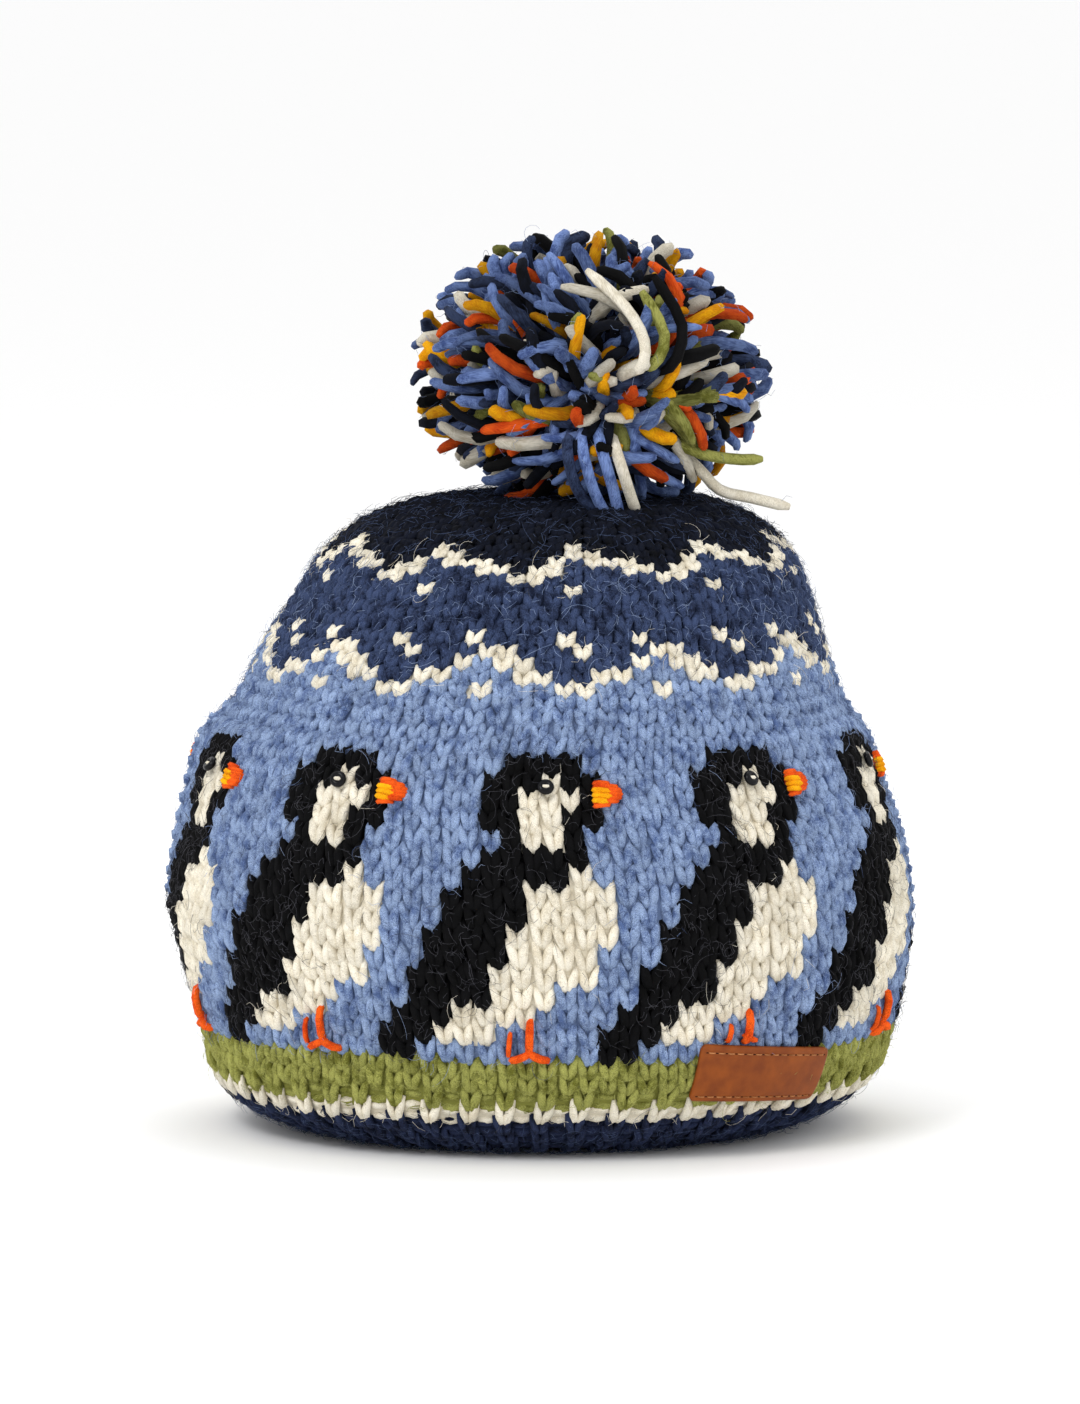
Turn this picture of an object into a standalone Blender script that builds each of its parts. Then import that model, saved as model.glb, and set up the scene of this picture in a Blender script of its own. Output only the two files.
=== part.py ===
"""Hand-knitted tea cosy with a pompom and a sewn leather patch. Metres, +Z up.

The knitted body is one hollow piece that keeps the shape it has over a round
teapot. It stands on its hem, which turns in under the pot and leaves a mouth
for the pot to go in. X runs from the spout's slot (-X) to the handle's slot
(+X), and the front faces -Y. The origin is under the middle, on the floor.
"""

import math
from collections import namedtuple

import bmesh
import bpy
from mathutils import Matrix, Vector, noise

# Knitted body
WALL = 0.0045  # thickness of the chunky knit
TURN_POINTS = 60  # points round the body, four to each gather
GATHERS = 15  # soft pleats where the crown is drawn together
GATHER_DEPTH = 0.0016
GATHER_ROW = 15.8  # the place in SECTIONS where they are deepest
BULGES = 3  # round the body
BULGE_DEPTH = 0.0012  # how far the knit bulges and dips over the pot
BULGE_RISE = 0.5  # how fast the bulges change from row to row

# Slots, parted by the spout and the handle
SPOUT_SLOT_MIDDLE = 0.084
SPOUT_SLOT_HEIGHT = 0.058
SPOUT_SLOT_WIDTH = 0.032
HANDLE_SLOT_MIDDLE = 0.085
HANDLE_SLOT_HEIGHT = 0.074
HANDLE_SLOT_WIDTH = 0.018
SLOT_EDGE_POINTS = 10
CUTTER_LENGTH = 0.060

# Pompom
POMPOM_MIDDLE = Vector((0.013, 0.0, 0.1970))
POMPOM_HALF = Vector((0.0455, 0.0430, 0.0365))
CORE_RADIUS = 0.013  # the tied middle, where every yarn end is fused
ROOT_INSET = 0.00035  # gap between the roots of two locks
SEAT_ANGLE = math.radians(31)  # half the core's foot, which is sewn to the crown
LENGTH_SPREAD = 0.07  # how unevenly the locks are trimmed
STRAY_TOWARDS = Vector((0.80, -0.20, -0.50))  # one long end that was missed
STRAY_REACH = 1.42
STRAY_FILL = 0.45

# Leather patch
PATCH_LENGTH = 0.0405
PATCH_WIDTH = 0.0145
PATCH_THICKNESS = 0.0014
PATCH_COLUMNS, PATCH_ROWS = 10, 4
PATCH_BEARING = math.radians(-52.5)  # round from +X, at the patch's middle
PATCH_HEIGHT = 0.0215  # of its middle
PATCH_TILT = math.radians(-5)
SMALL_STEP = 0.0005

CLEARANCE = 0.0003  # between one piece and the next

# One row for each level of the knit, from the hem's edge to the crown's middle.
Section = namedtuple("Section", "height half_width half_depth lean")
SECTIONS = (
    Section(0.0000, 0.0470, 0.0430, 0.0000),  # hem's edge, round the mouth
    Section(0.0000, 0.0610, 0.0565, 0.0000),  # end of what lies on the floor
    Section(0.0030, 0.0725, 0.0665, 0.0003),
    Section(0.0085, 0.0822, 0.0745, 0.0003),
    Section(0.0160, 0.0882, 0.0800, 0.0014),
    Section(0.0270, 0.0915, 0.0835, 0.0020),
    Section(0.0420, 0.0950, 0.0862, 0.0014),
    Section(0.0590, 0.0976, 0.0876, 0.0000),  # widest
    Section(0.0760, 0.0962, 0.0872, -0.0008),
    Section(0.0910, 0.0922, 0.0845, -0.0018),
    Section(0.1030, 0.0878, 0.0810, -0.0016),
    Section(0.1135, 0.0790, 0.0777, -0.0002),  # drawn in above the slots
    Section(0.1270, 0.0736, 0.0738, 0.0010),
    Section(0.1400, 0.0672, 0.0680, 0.0034),
    Section(0.1510, 0.0612, 0.0612, 0.0046),
    Section(0.1590, 0.0515, 0.0515, 0.0055),
    Section(0.1640, 0.0380, 0.0380, 0.0070),
    Section(0.1660, 0.0200, 0.0200, 0.0100),
    Section(0.1660, 0.0000, 0.0000, 0.0130),  # gathered middle
)
CURLED_IN = 5  # rows of the table in the hem's curl, which take a ring between them
SHOULDER = 14  # first row of the shoulder, which takes them too

Finish = namedtuple("Finish", "colour roughness")
WOOL = Finish((0.175, 0.262, 0.560, 1.0), 0.95)
POMPOM_WOOL = Finish((0.130, 0.195, 0.440, 1.0), 0.95)
LEATHER = Finish((0.290, 0.085, 0.026, 1.0), 0.50)


def clear_scene():
    for thing in list(bpy.data.objects):
        bpy.data.objects.remove(thing)


def new_collection(name):
    made = bpy.data.collections.new(name)
    bpy.context.scene.collection.children.link(made)
    return made


def new_material(name, finish):
    material = bpy.data.materials.new(name)
    material.use_nodes = True
    shader = material.node_tree.nodes["Principled BSDF"]
    shader.inputs["Base Color"].default_value = finish.colour
    shader.inputs["Roughness"].default_value = finish.roughness
    shader.inputs["Metallic"].default_value = 0.0
    return material


def object_from(bm, name, collection, material=None):
    """A named object in a collection, from a finished bmesh."""
    mesh = bpy.data.meshes.new(name)
    bm.to_mesh(mesh)
    bm.free()
    made = bpy.data.objects.new(name, mesh)
    collection.objects.link(made)
    if material:
        mesh.materials.append(material)
        mesh.shade_smooth()
    return made


def smooth_between(before, low, high, after, share):
    """Catmull-Rom: a smooth value between low and high."""
    square, cube = share * share, share * share * share
    return 0.5 * (
        2 * low
        + (high - before) * share
        + (2 * before - 5 * low + 4 * high - after) * square
        + (3 * low - before - 3 * high + after) * cube
    )


def section_at(place):
    """The section at a place in SECTIONS, which may lie between two rows."""
    last = len(SECTIONS) - 1
    row = min(int(place), last - 1)
    near = [SECTIONS[min(max(row + step, 0), last)] for step in (-1, 0, 1, 2)]
    values = [smooth_between(*column, place - row) for column in zip(*near)]
    return Section(max(values[0], 0.0), *values[1:])


def surface_point(place, bearing):
    """A point on the knit's outside, with its gathers and bulges."""
    level = section_at(place)
    gathered = math.exp(-((place - GATHER_ROW) ** 2))
    swell = GATHER_DEPTH * gathered * math.cos(GATHERS * bearing)
    risen = BULGE_RISE * place
    bulge = math.cos(BULGES * bearing + risen) * math.sin(risen) * min(1, place / 4)
    swell += BULGE_DEPTH * bulge * math.sin(bearing) ** 2
    grown = 1 + swell / max(level.half_width, SECTIONS[SHOULDER].half_width)
    return Vector(
        (
            level.lean + level.half_width * grown * math.cos(bearing),
            level.half_depth * grown * math.sin(bearing),
            level.height,
        )
    )


def place_at(height):
    """The place in SECTIONS where the knit's side is this high."""
    place = 1.0
    while section_at(place).height < height:
        place += 0.01
    return place


def crown_height(x, y):
    """Height of the crown's outside below a point."""
    for row in range(len(SECTIONS) - 1, 0, -1):
        upper, lower = SECTIONS[row], SECTIONS[row - 1]
        out = math.hypot(x - lower.lean, y)
        if out <= lower.half_width:
            share = (out - upper.half_width) / (lower.half_width - upper.half_width)
            share = min(max(share, 0.0), 1.0)
            return upper.height + (lower.height - upper.height) * share
    return 0.0


def slot_cutter(name, x, middle, height, width, collection):
    """A closed lens-shaped bar along X, which parts the knit."""
    bm = bmesh.new()
    start = x - CUTTER_LENGTH / 2
    edge = []
    for side in (1, -1):
        for step in range(SLOT_EDGE_POINTS):
            rise = side * (1 - 2 * step / SLOT_EDGE_POINTS)
            open_here = side * width / 2 * (1 - rise * rise)
            edge.append(bm.verts.new((start, open_here, middle + rise * height / 2)))
    face = bm.faces.new(edge)
    grown = bmesh.ops.extrude_face_region(bm, geom=[face])
    moved = [v for v in grown["geom"] if isinstance(v, bmesh.types.BMVert)]
    bmesh.ops.translate(bm, verts=moved, vec=(CUTTER_LENGTH, 0, 0))
    bmesh.ops.recalc_face_normals(bm, faces=bm.faces)
    cutter = object_from(bm, name, collection)
    cutter.hide_render = True
    cutter.display_type = "WIRE"
    return cutter


def knitted_body(parts, cutters):
    """Rings of points drawn up from the hem's edge and closed at the crown."""
    bm = bmesh.new()
    bmesh.ops.create_circle(bm, segments=TURN_POINTS, radius=1)
    ring = list(bm.verts)
    bearings = [math.tau * step / TURN_POINTS for step in range(TURN_POINTS)]
    last = len(SECTIONS) - 1
    halves = [row + 0.5 for row in range(1, last) if not CURLED_IN <= row < SHOULDER]
    places = sorted([*range(last), *halves])
    for number, place in enumerate(places):
        if number:
            edges = [e for e in bm.edges if e.verts[0] in ring and e.verts[1] in ring]
            grown = bmesh.ops.extrude_edge_only(bm, edges=edges)["geom"]
            fresh = {v for v in grown if isinstance(v, bmesh.types.BMVert)}
            ring = [
                next(e.other_vert(v) for e in v.link_edges if e.other_vert(v) in fresh)
                for v in ring
            ]
        for vert, bearing in zip(ring, bearings):
            vert.co = surface_point(place, bearing)
    top = bm.verts.new(surface_point(last, 0.0))
    for vert, following in zip(ring, ring[1:] + ring[:1]):
        bm.faces.new((vert, following, top))
    bmesh.ops.recalc_face_normals(bm, faces=bm.faces)
    body = object_from(bm, "knitted_body", parts, new_material("blue wool", WOOL))
    shell = body.modifiers.new("thickness", "SOLIDIFY")
    shell.thickness = WALL
    shell.offset = -1
    shell.use_even_offset = True
    side = max(level.half_width for level in SECTIONS)
    for name, x, middle, height, width in (
        ("spout slot", -side, SPOUT_SLOT_MIDDLE, SPOUT_SLOT_HEIGHT, SPOUT_SLOT_WIDTH),
        ("handle slot", side, HANDLE_SLOT_MIDDLE, HANDLE_SLOT_HEIGHT, HANDLE_SLOT_WIDTH),
    ):
        cut = body.modifiers.new(name, "BOOLEAN")
        cut.operation = "DIFFERENCE"
        cut.object = slot_cutter(name, x, middle, height, width, cutters)
    return body


def lock_reach(towards):
    """How far a lock of yarn reaches from the pompom's middle."""
    flat = Vector(towards[axis] / POMPOM_HALF[axis] for axis in range(3))
    return (1 + LENGTH_SPREAD * noise.noise(towards * 9)) / flat.length


def kept_off_crown(point):
    """The point, drawn back towards the pompom's middle until it clears the knit."""
    out = point - POMPOM_MIDDLE
    while point.z < crown_height(point.x, point.y) + GATHER_DEPTH:
        out *= 0.985
        point = POMPOM_MIDDLE + out
    return point


def pompom(parts):
    """Locks of cut yarn that stand out from one core, which is sewn to the crown."""
    bm = bmesh.new()
    bmesh.ops.create_icosphere(bm, subdivisions=3, radius=CORE_RADIUS)
    low = -math.cos(SEAT_ANGLE)
    below = [f for f in bm.faces if f.calc_center_median().normalized().z < low]
    foot = bmesh.ops.dissolve_faces(bm, faces=below)["region"]
    locks = [f for f in bm.faces if f not in foot]
    crown_top = max(level.height for level in SECTIONS)
    sewn = bmesh.ops.extrude_discrete_faces(bm, faces=foot)["faces"]
    for vert in sewn[0].verts:
        vert.co.z = crown_top + CLEARANCE - POMPOM_MIDDLE.z
    bmesh.ops.inset_individual(bm, faces=locks, thickness=ROOT_INSET)
    stray = max(locks, key=lambda f: f.calc_center_median().dot(STRAY_TOWARDS))
    # (how far along the lock, how much of its share of the ball it fills there)
    for along, fill in ((0.90, 1.10), (1.0, 0.62)):
        grown = bmesh.ops.extrude_discrete_faces(bm, faces=locks)["faces"]
        stray = grown[locks.index(stray)]
        for face in grown:
            towards = face.calc_center_median().normalized()
            reach = lock_reach(towards) * (STRAY_REACH if face == stray else 1)
            spread = fill * (STRAY_FILL if face == stray else 1)
            for vert in face.verts:
                aside = vert.co.normalized() - towards
                vert.co = (towards + aside * spread) * reach * along
                vert.co = kept_off_crown(vert.co + POMPOM_MIDDLE) - POMPOM_MIDDLE
        locks = grown
    bmesh.ops.translate(bm, verts=bm.verts, vec=POMPOM_MIDDLE)
    return object_from(bm, "pompom", parts, new_material("mixed wool", POMPOM_WOOL))


def patch_point(across, up):
    """The point of the knit under a point of the patch."""
    turned = Matrix.Rotation(PATCH_TILT, 2) @ Vector((across, up))
    middle = place_at(PATCH_HEIGHT)
    centre = surface_point(middle, PATCH_BEARING)
    beside = surface_point(middle, PATCH_BEARING + SMALL_STEP)
    above = surface_point(middle + SMALL_STEP, PATCH_BEARING)
    bearing = PATCH_BEARING + turned.x * SMALL_STEP / (beside - centre).length
    place = middle + turned.y * SMALL_STEP / (above - centre).length
    return surface_point(place, bearing)


def leather_patch(parts):
    """A thin patch that lies on the knit above the hem."""
    bm = bmesh.new()
    bmesh.ops.create_grid(
        bm, x_segments=PATCH_COLUMNS, y_segments=PATCH_ROWS, size=0.5
    )
    for vert in bm.verts:
        across, up = vert.co.x * PATCH_LENGTH, vert.co.y * PATCH_WIDTH
        here = patch_point(across, up)
        beside = patch_point(across + SMALL_STEP, up) - here
        above = patch_point(across, up + SMALL_STEP) - here
        vert.co = here + beside.cross(above).normalized() * CLEARANCE
    patch = object_from(bm, "leather_patch", parts, new_material("tan leather", LEATHER))
    thickness = patch.modifiers.new("thickness", "SOLIDIFY")
    thickness.thickness = PATCH_THICKNESS
    thickness.offset = 1
    return patch


def main():
    clear_scene()
    parts = new_collection("tea cosy")
    cutters = new_collection("cutters")
    knitted_body(parts, cutters)
    pompom(parts)
    leather_patch(parts)


main()
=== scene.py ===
import random
from collections import namedtuple
from math import copysign, cos, exp, hypot, pi, radians, sin, sqrt, tau

import bmesh
import bpy
from mathutils import Matrix, Vector, noise


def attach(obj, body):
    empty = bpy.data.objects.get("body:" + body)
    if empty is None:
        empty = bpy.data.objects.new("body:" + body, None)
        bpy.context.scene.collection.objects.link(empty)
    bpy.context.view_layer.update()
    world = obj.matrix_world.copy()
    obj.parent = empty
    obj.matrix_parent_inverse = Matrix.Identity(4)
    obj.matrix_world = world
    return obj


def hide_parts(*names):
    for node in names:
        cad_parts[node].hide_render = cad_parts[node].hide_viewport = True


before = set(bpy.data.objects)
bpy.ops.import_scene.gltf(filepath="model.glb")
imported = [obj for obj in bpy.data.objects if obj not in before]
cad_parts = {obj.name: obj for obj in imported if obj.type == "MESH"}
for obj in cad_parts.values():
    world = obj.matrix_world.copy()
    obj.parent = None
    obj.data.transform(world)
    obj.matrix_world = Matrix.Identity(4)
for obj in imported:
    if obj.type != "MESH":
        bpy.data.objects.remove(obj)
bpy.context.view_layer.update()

# --------------------------------------
# The knitted cloth. Heavy wool, knitted in the round from the hem up and
# stretched over a teapot. Here is the plain back of the cloth, which shows
# inside, at the slots, and in the shadows between the stitches.

Section = namedtuple("Section", "height half_width half_depth lean")
SECTIONS = [Section(*row) for row in (
    (0.0000, 0.0470, 0.0430, 0.0000),  # hem's edge, round the mouth
    (0.0000, 0.0610, 0.0565, 0.0000),  # end of what lies on the floor
    (0.0030, 0.0725, 0.0665, 0.0003),
    (0.0085, 0.0822, 0.0745, 0.0003),
    (0.0160, 0.0882, 0.0800, 0.0014),
    (0.0270, 0.0915, 0.0835, 0.0020),
    (0.0420, 0.0950, 0.0862, 0.0014),
    (0.0590, 0.0976, 0.0876, 0.0000),  # widest
    (0.0760, 0.0962, 0.0872, -0.0008),
    (0.0910, 0.0922, 0.0845, -0.0018),
    (0.1030, 0.0878, 0.0810, -0.0016),
    (0.1135, 0.0790, 0.0777, -0.0002),  # drawn in above the slots
    (0.1270, 0.0736, 0.0738, 0.0010),
    (0.1400, 0.0672, 0.0680, 0.0034),
    (0.1510, 0.0612, 0.0612, 0.0046),  # shoulder
    (0.1590, 0.0515, 0.0515, 0.0055),
    (0.1640, 0.0380, 0.0380, 0.0070),
    (0.1660, 0.0200, 0.0200, 0.0100),
    (0.1660, 0.0000, 0.0000, 0.0130),  # gathered middle
)]
LAST_PLACE = len(SECTIONS) - 1
GATHERS, GATHER_DEPTH, GATHER_ROW = 15, 0.0016, 15.8
BULGES, BULGE_DEPTH, BULGE_RISE = 3, 0.0012, 0.5
SHOULDER_HALF = SECTIONS[14].half_width
SHOULDER_ROW, SHOULDER_EASE = 10.5, 0.004  # away from the slots the shoulder is rounder

Slot = namedtuple("Slot", "bearing middle height width")
SLOTS = (
    Slot(pi, 0.084, 0.058, 0.032),  # for the spout
    Slot(tau, 0.085, 0.074, 0.018),  # for the handle
)
SLOT_SPREAD = 6  # how far beside a slot the knit is pushed aside, in half widths
WANDER_ROUND, WANDER_UP = 0.0028, 0.10  # how unevenly the knit lies
WANDER_WIDE, WANDER_TALL = 2.4, 0.5
CALM = 0.5  # radians beside a slot in which the knit lies more evenly
noise.seed_set(3)

ROUND = 110  # stitches in a full round
START = pi / 2 + pi / ROUND  # at the back, so that each slot parts two stitches
CLOTH_DEPTH = 0.0018  # from the stitches' tops to the back of the cloth
CLOTH_WALL = 0.0022
CLOTH_END = 0.2  # how far short of the gathered middle the rows of its grid end
BESIDE = 0.001  # of a stitch, between the two edges of a slot in the grid


def smooth_between(before, low, high, after, share):
    """Catmull-Rom: a smooth value between low and high."""
    square, cube = share * share, share * share * share
    risen = 2 * low + (high - before) * share + (2 * before - 5 * low + 4 * high - after) * square
    return 0.5 * (risen + (3 * low - before - 3 * high + after) * cube)


def section_at(place):
    """The section at a place in SECTIONS, which may lie between two rows."""
    row = min(int(place), LAST_PLACE - 1)
    near = [SECTIONS[min(max(row + step, 0), LAST_PLACE)] for step in (-1, 0, 1, 2)]
    values = [smooth_between(*column, place - row) for column in zip(*near)]
    return Section(max(values[0], 0.0), *values[1:])


def knit_surface(place, bearing):
    """A point on the outside of the knit, with its gathers and bulges."""
    level = section_at(place)
    gathered = exp(-((place - GATHER_ROW) ** 2))
    swell = GATHER_DEPTH * gathered * cos(GATHERS * bearing)
    risen = BULGE_RISE * place
    bulge = cos(BULGES * bearing + risen) * sin(risen) * min(1, place / 4)
    swell += BULGE_DEPTH * bulge * sin(bearing) ** 2
    grown = 1 + swell / max(level.half_width, SHOULDER_HALF)
    over = place - SHOULDER_ROW
    eased = SHOULDER_EASE * over * exp(-over * over) * min(1, 2 * sin(bearing) ** 2)
    aside = level.lean + (level.half_width + eased) * grown * cos(bearing)
    return Vector((aside, level.half_depth * grown * sin(bearing), level.height))


def pushed_aside(place, turned):
    """The bearing of a point of the round, moved aside where a slot stands open.
    turned goes from 0 to 1 round the cosy, from the back by way of the spout."""
    bearing = START + tau * turned
    level = section_at(place)
    for slot in SLOTS:
        rise = 2 * (level.height - slot.middle) / slot.height
        reach = SLOT_SPREAD * slot.width / 2 / level.half_depth
        beside = bearing - slot.bearing
        if abs(rise) < 1 and abs(beside) < reach:
            half_open = slot.width / 2 * (1 - rise * rise) / level.half_depth
            bearing += copysign(half_open * (1 - abs(beside) / reach) ** 3, beside)
    return bearing


def knit_point(place, turned):
    """A point of the knit, which lies a little unevenly except at its edges."""
    round_way = tau * turned
    spot = (WANDER_WIDE * cos(round_way), WANDER_WIDE * sin(round_way), WANDER_TALL * place)
    wander = noise.noise_vector(spot)
    from_slot = min(abs(START + round_way - slot.bearing) for slot in SLOTS)
    free = min(1, from_slot / CALM) * min(1, max(place - 1, 0) / 2) * min(1, LAST_PLACE - place)
    turned += WANDER_ROUND * wander.x * free
    place += WANDER_UP * wander.y * free
    return knit_surface(place, pushed_aside(place, turned))


def knit_frame(place, turned):
    """Where a stitch sits, and which way across, up and outwards are there."""
    aside, along = 0.002, 0.02
    here = knit_point(place, turned)
    across = knit_point(place, turned + aside) - knit_point(place, turned - aside)
    lower = knit_point(max(place - along, 0), turned)
    up = knit_point(min(place + along, LAST_PLACE), turned) - lower
    return here, across.normalized(), up.normalized(), across.cross(up).normalized()


# Courses, from the hem's edge up. Each is a round of stitches of one height.
Course = namedtuple("Course", "place stitches height width pattern row")
Band = namedtuple("Band", "pattern courses stitches tall")  # tall: height over width
BANDS = [Band(*row) for row in (
    ("hem", 9, ROUND, 1.08),
    ("edging", 1, ROUND, 1.08),
    ("low grass", 1, ROUND, 1.08),
    ("grass", 2, ROUND, 0.866),
    ("birds", 16, ROUND, 0.938),
    ("sky", 2, ROUND, 0.80),
    ("sky", 2, 90, 0.66),
    ("waves", 5, 90, 0.624),
    ("sea", 1, 90, 0.80),
    ("sea", 2, 80, 0.65),
    ("high waves", 6, 80, 0.55),
    ("crown", 4, 70, 0.75),
    ("crown", 3, 50, 0.787),
    ("crown", 3, 40, 0.787),
    ("crown", 4, 20, 0.787),
)]


def round_length(place):
    """How long the round is at a place."""
    level = section_at(place)
    return tau * sqrt((level.half_width**2 + level.half_depth**2) / 2)


def laid_courses():
    """The courses, each as high as the width of its stitches allows."""
    courses, place, step = [], 0.0, 0.02
    for band in BANDS:
        for row in range(band.courses):
            width = round_length(place) / band.stitches
            height = band.tall * width
            start, here, walked = place, knit_surface(place, -START), 0.0
            while walked < height and place < LAST_PLACE - step:
                place += step
                following = knit_surface(place, -START)
                walked += (following - here).length
                here = following
            middle = (start + place) / 2
            courses.append(Course(middle, band.stitches, height, width, band.pattern, row))
    return courses


COURSES = laid_courses()

# Charts, read from the top course down, one sign a stitch:
# s sky blue, n sea blue, d deep navy, w cream, k black. The birds' chart is one
# stitch wider than its repeat, and a dot there leaves the sky or the next bird.
Chart = namedtuple("Chart", "repeat start lines")
BIRDS = Chart(11, 2, """
.......kkkk.
......kkkwkk
......kkwwwk
......kkwwkk
.......kwwk.
......kkkkk.
.....kkkkkw.
....kkkkwwww
....kkkkwwww
...kkkkwwwww
...kkkkwwww.
..kkkkwwwww.
..kkkkwww...
.kkkwwww....
kkkwww......
kk..........
""".split())
WAVES = Chart(9, 4, """
wnnnnwnnn
nwwnnnwnn
wswwnnnnn
ssswwnnww
swssswwss
""".split())
HIGH_WAVES = Chart(8, 0, """
wddddddd
wwdddddd
nwwwdddw
nnnwwdww
nnnnnwwn
wnnnnnnn
""".split())
CHARTS = {"birds": BIRDS, "waves": WAVES, "high waves": HIGH_WAVES}
PLAIN = {"hem": "h", "edging": "w", "low grass": "g", "grass": "g", "birds": "s",
         "sky": "s", "sea": "n", "crown": "d"}


def wool_of(course, column):
    """The sign of the yarn that a stitch is knitted in."""
    if course.pattern in CHARTS:
        chart = CHARTS[course.pattern]
        line = chart.lines[-1 - course.row]
        first = (column - chart.start) % chart.repeat
        for sign in line[first :: chart.repeat]:
            if sign != ".":
                return sign
    return PLAIN[course.pattern]


def linear(red, green, blue):
    """A colour as paint charts give it, 0 to 255, made linear."""
    return tuple((part / 255) ** 2.2 for part in (red, green, blue))


# body: the wool's own colour; fleck: the darker fibres spun in with it
Wool = namedtuple("Wool", "name body fleck")


def dyed(name, body, fleck):
    """A wool in two colours of a paint chart."""
    return Wool(name, linear(*body), linear(*fleck))


WOOLS = {
    "s": dyed("sky_blue", (134, 153, 186), (76, 94, 134)),
    "n": dyed("sea_blue", (58, 70, 100), (26, 32, 50)),
    "d": dyed("deep_navy", (22, 26, 38), (9, 11, 16)),
    "h": dyed("hem_navy", (44, 52, 78), (18, 21, 33)),
    "w": dyed("cream", (230, 223, 206), (206, 196, 174)),
    "k": dyed("black", (15, 15, 17), (6, 6, 7)),
    "g": dyed("grass_green", (149, 150, 82), (98, 99, 41)),
}


def slot_open_at(place):
    """The slots that stand open at a place, as the share of the round they lie at."""
    height = section_at(place).height
    open_here = [slot for slot in SLOTS if abs(height - slot.middle) < slot.height / 2]
    return [(slot.bearing - START) / tau for slot in open_here]


def cloth_back():
    """A grid of one face a stitch, left open along the slots, with its wools' colours."""
    between = [(low.place + high.place) / 2 for low, high in zip(COURSES, COURSES[1:])]
    bounds = [0.0, *between, LAST_PLACE - CLOTH_END]
    bm = bmesh.new()
    tint = bm.loops.layers.float_color.new("tint")
    grid = bm.loops.layers.uv.new("UVMap")
    corners = {}

    def corner(ring, column, side):
        """A grid point. Beside an open slot, side says which edge of it is meant."""
        place, turned = bounds[ring], column / ROUND
        if not any(abs(turned - at) < BESIDE for at in slot_open_at(place)):
            side = 0
        key = (ring, column % ROUND, side)
        if key not in corners:
            turned = (column % ROUND + side * BESIDE) / ROUND
            here, _, _, out = knit_frame(place, turned)
            corners[key] = bm.verts.new(here - out * CLOTH_DEPTH)
        return corners[key]

    for ring, course in enumerate(COURSES):
        for column in range(ROUND):
            steps = ((0, 0), (1, 0), (1, 1), (0, 1))
            face = bm.faces.new(
                [corner(ring + above, column + over, 1 - 2 * over) for over, above in steps]
            )
            wool = WOOLS[wool_of(course, int((column + 0.5) / ROUND * course.stitches))]
            colour = [(body + fleck) / 2 for body, fleck in zip(wool.body, wool.fleck)]
            for loop, (over, above) in zip(face.loops, steps):
                loop[tint] = (*colour, 1)
                loop[grid].uv = (column + over, ring + above)
    top = bm.verts.new((SECTIONS[-1].lean, 0, SECTIONS[-1].height - CLOTH_DEPTH))
    last = len(COURSES)
    for column in range(ROUND):
        face = bm.faces.new((corner(last, column, 0), corner(last, column + 1, 0), top))
        for loop in face.loops:
            loop[tint] = (*WOOLS["d"].fleck, 1)
            loop[grid].uv = (column, last)
    for face in bm.faces:
        face.smooth = True
    return bm


def give(tree, node, given):
    """Sets a node's inputs, or links them to a node or to one of its outputs."""
    for key, value in given.items():
        if isinstance(value, bpy.types.Node):
            value = value.outputs[0]
        if isinstance(value, bpy.types.NodeSocket):
            tree.links.new(value, node.inputs[key])
        else:
            node.inputs[key].default_value = value


def add(tree, kind, given=(), **settings):
    """A new node, and its settings and inputs."""
    node = tree.nodes.new(kind)
    for key, value in settings.items():
        setattr(node, key, value)
    give(tree, node, dict(given))
    return node


def new_finish(name):
    """A new material, with its nodes and its main shader."""
    material = bpy.data.materials.new(name)
    material.use_nodes = True
    return material, material.node_tree, material.node_tree.nodes["Principled BSDF"]


def bumped(tree, height, strength, distance, invert=False):
    """The bumps on a surface."""
    given = {"Strength": strength, "Distance": distance, "Height": height}
    return add(tree, "ShaderNodeBump", given, invert=invert)


def knit_back_finish():
    """The back of the knit: rows of small bumps, in the colours of its wools."""
    material, tree, shader = new_finish("back of the knit")
    grid = add(tree, "ShaderNodeUVMap", uv_map="UVMap")
    given = {"Vector": grid, "Scale": 2.0, "Randomness": 0.35}
    bumps = add(tree, "ShaderNodeTexVoronoi", given)
    give(tree, shader, {
        "Base Color": add(tree, "ShaderNodeAttribute", attribute_name="tint"),
        "Roughness": 1.0, "Specular IOR Level": 0.05,
        "Normal": bumped(tree, bumps, 0.9, 0.001, invert=True),
    })
    return material


def added(name, data):
    """A new object in the scene."""
    piece = bpy.data.objects.new(name, data)
    bpy.context.scene.collection.objects.link(piece)
    return piece


def solid(name, build, finish):
    """A new object in one finish, of the mesh that has been built."""
    mesh = bpy.data.meshes.new(name)
    build.to_mesh(mesh)
    build.free()
    mesh.materials.append(finish)
    return added(name, mesh)


knit_back = solid("knit_back", cloth_back(), knit_back_finish())
wall = knit_back.modifiers.new("wall", "SOLIDIFY")
wall.thickness = CLOTH_WALL
wall.offset = -1
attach(knit_back, "root")
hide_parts("knitted_body")

# --------------------------------------
# The stitches. Each is two legs of plied wool that come up through the stitch
# below and part in a V. On the hem, knit stitches stand up in ribs and purl
# stitches lie between them as short level bars.

LEG_SHARE = 0.268  # a leg's radius, as a share of its stitch's width
STITCH_SINK = 0.0015  # from the outside of the cosy down to the stitches' middle
YARN_SIDES = 5
TWIST = 900.0  # radians a metre
PHASES = 3  # metres of yarn, from anywhere in which a strand takes its fibres
DRAWN_OUT = (4.5, 4.5, 380)  # the fibres' fineness across and along the yarn
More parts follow.
